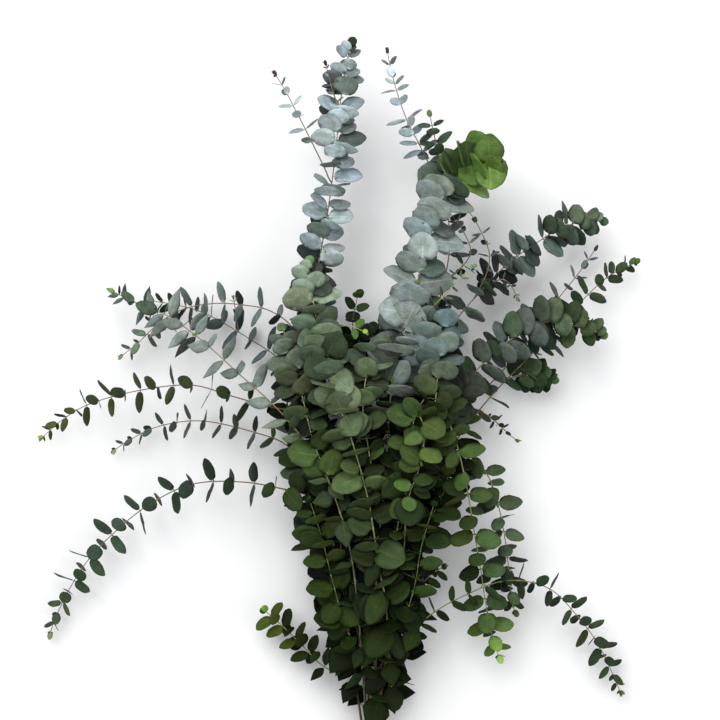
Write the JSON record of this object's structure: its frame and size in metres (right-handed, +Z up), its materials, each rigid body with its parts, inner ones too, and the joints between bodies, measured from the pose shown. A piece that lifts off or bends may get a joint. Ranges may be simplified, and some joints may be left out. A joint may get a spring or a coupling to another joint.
{
  "type": "eucalyptus bunch",
  "caption": "Tied bunch of leafy eucalyptus stems lying flat, with round paired leaves and long arching side shoots, for a vase, a garland or a table.",
  "frame": {"origin": "middle of the bunch's bounding box, on the surface that it lies on", "axes": "+Z is up from the surface, +Y runs along the stems from their cut ends to the leafy tips, +X is to the right when looking down on it with the tips away"},
  "size_m": [0.702, 0.9026, 0.1711],
  "materials": {
    "stem_back_leaf": "matt dark green leaf",
    "stem_fall_front_leaf": "matt grey-green leaf",
    "stem_fall_right_leaf": "matt green leaf",
    "stem_fall_side_leaf": "matt grey-green leaf",
    "stem_front_leaf": "matt waxy grey-green leaf",
    "stem_large_leaf_leaf": "matt waxy blue-grey leaf",
    "stem_left_arch_leaf": "matt waxy blue-grey leaf",
    "stem_left_back_leaf": "matt waxy grey-green leaf",
    "stem_left_edge_leaf": "matt dark green leaf",
    "stem_left_long_leaf": "matt olive-green leaf",
    "stem_left_low_leaf": "matt grey-green leaf",
    "stem_left_upper_leaf": "matt waxy silver leaf",
    "stem_right_edge_leaf": "matt dark green leaf",
    "stem_right_grey_leaf": "matt waxy blue-grey leaf",
    "stem_right_long_leaf": "matt dark grey-green leaf",
    "stem_right_thin_leaf": "matt grey leaf",
    "stem_right_upper_leaf": "matt waxy grey-green leaf",
    "stem_tall_leaf": "matt waxy pale blue-grey leaf",
    "stem_top_thin_leaf": "matt waxy pale blue-grey leaf",
    "tie": "plain natural twine"
  },
  "bodies": {
    "root": {"stem_back": "stem_back_leaf", "stem_fall_front": "stem_fall_front_leaf", "stem_fall_right": "stem_fall_right_leaf", "stem_fall_side": "stem_fall_side_leaf", "stem_front": "stem_front_leaf", "stem_large_leaf": "stem_large_leaf_leaf", "stem_left_arch": "stem_left_arch_leaf", "stem_left_back": "stem_left_back_leaf", "stem_left_edge": "stem_left_edge_leaf", "stem_left_long": "stem_left_long_leaf", "stem_left_low": "stem_left_low_leaf", "stem_left_upper": "stem_left_upper_leaf", "stem_right_edge": "stem_right_edge_leaf", "stem_right_grey": "stem_right_grey_leaf", "stem_right_long": "stem_right_long_leaf", "stem_right_thin": "stem_right_thin_leaf", "stem_right_upper": "stem_right_upper_leaf", "stem_tall": "stem_tall_leaf", "stem_top_thin": "stem_top_thin_leaf", "tie": "tie"}
  },
  "joints": []
}
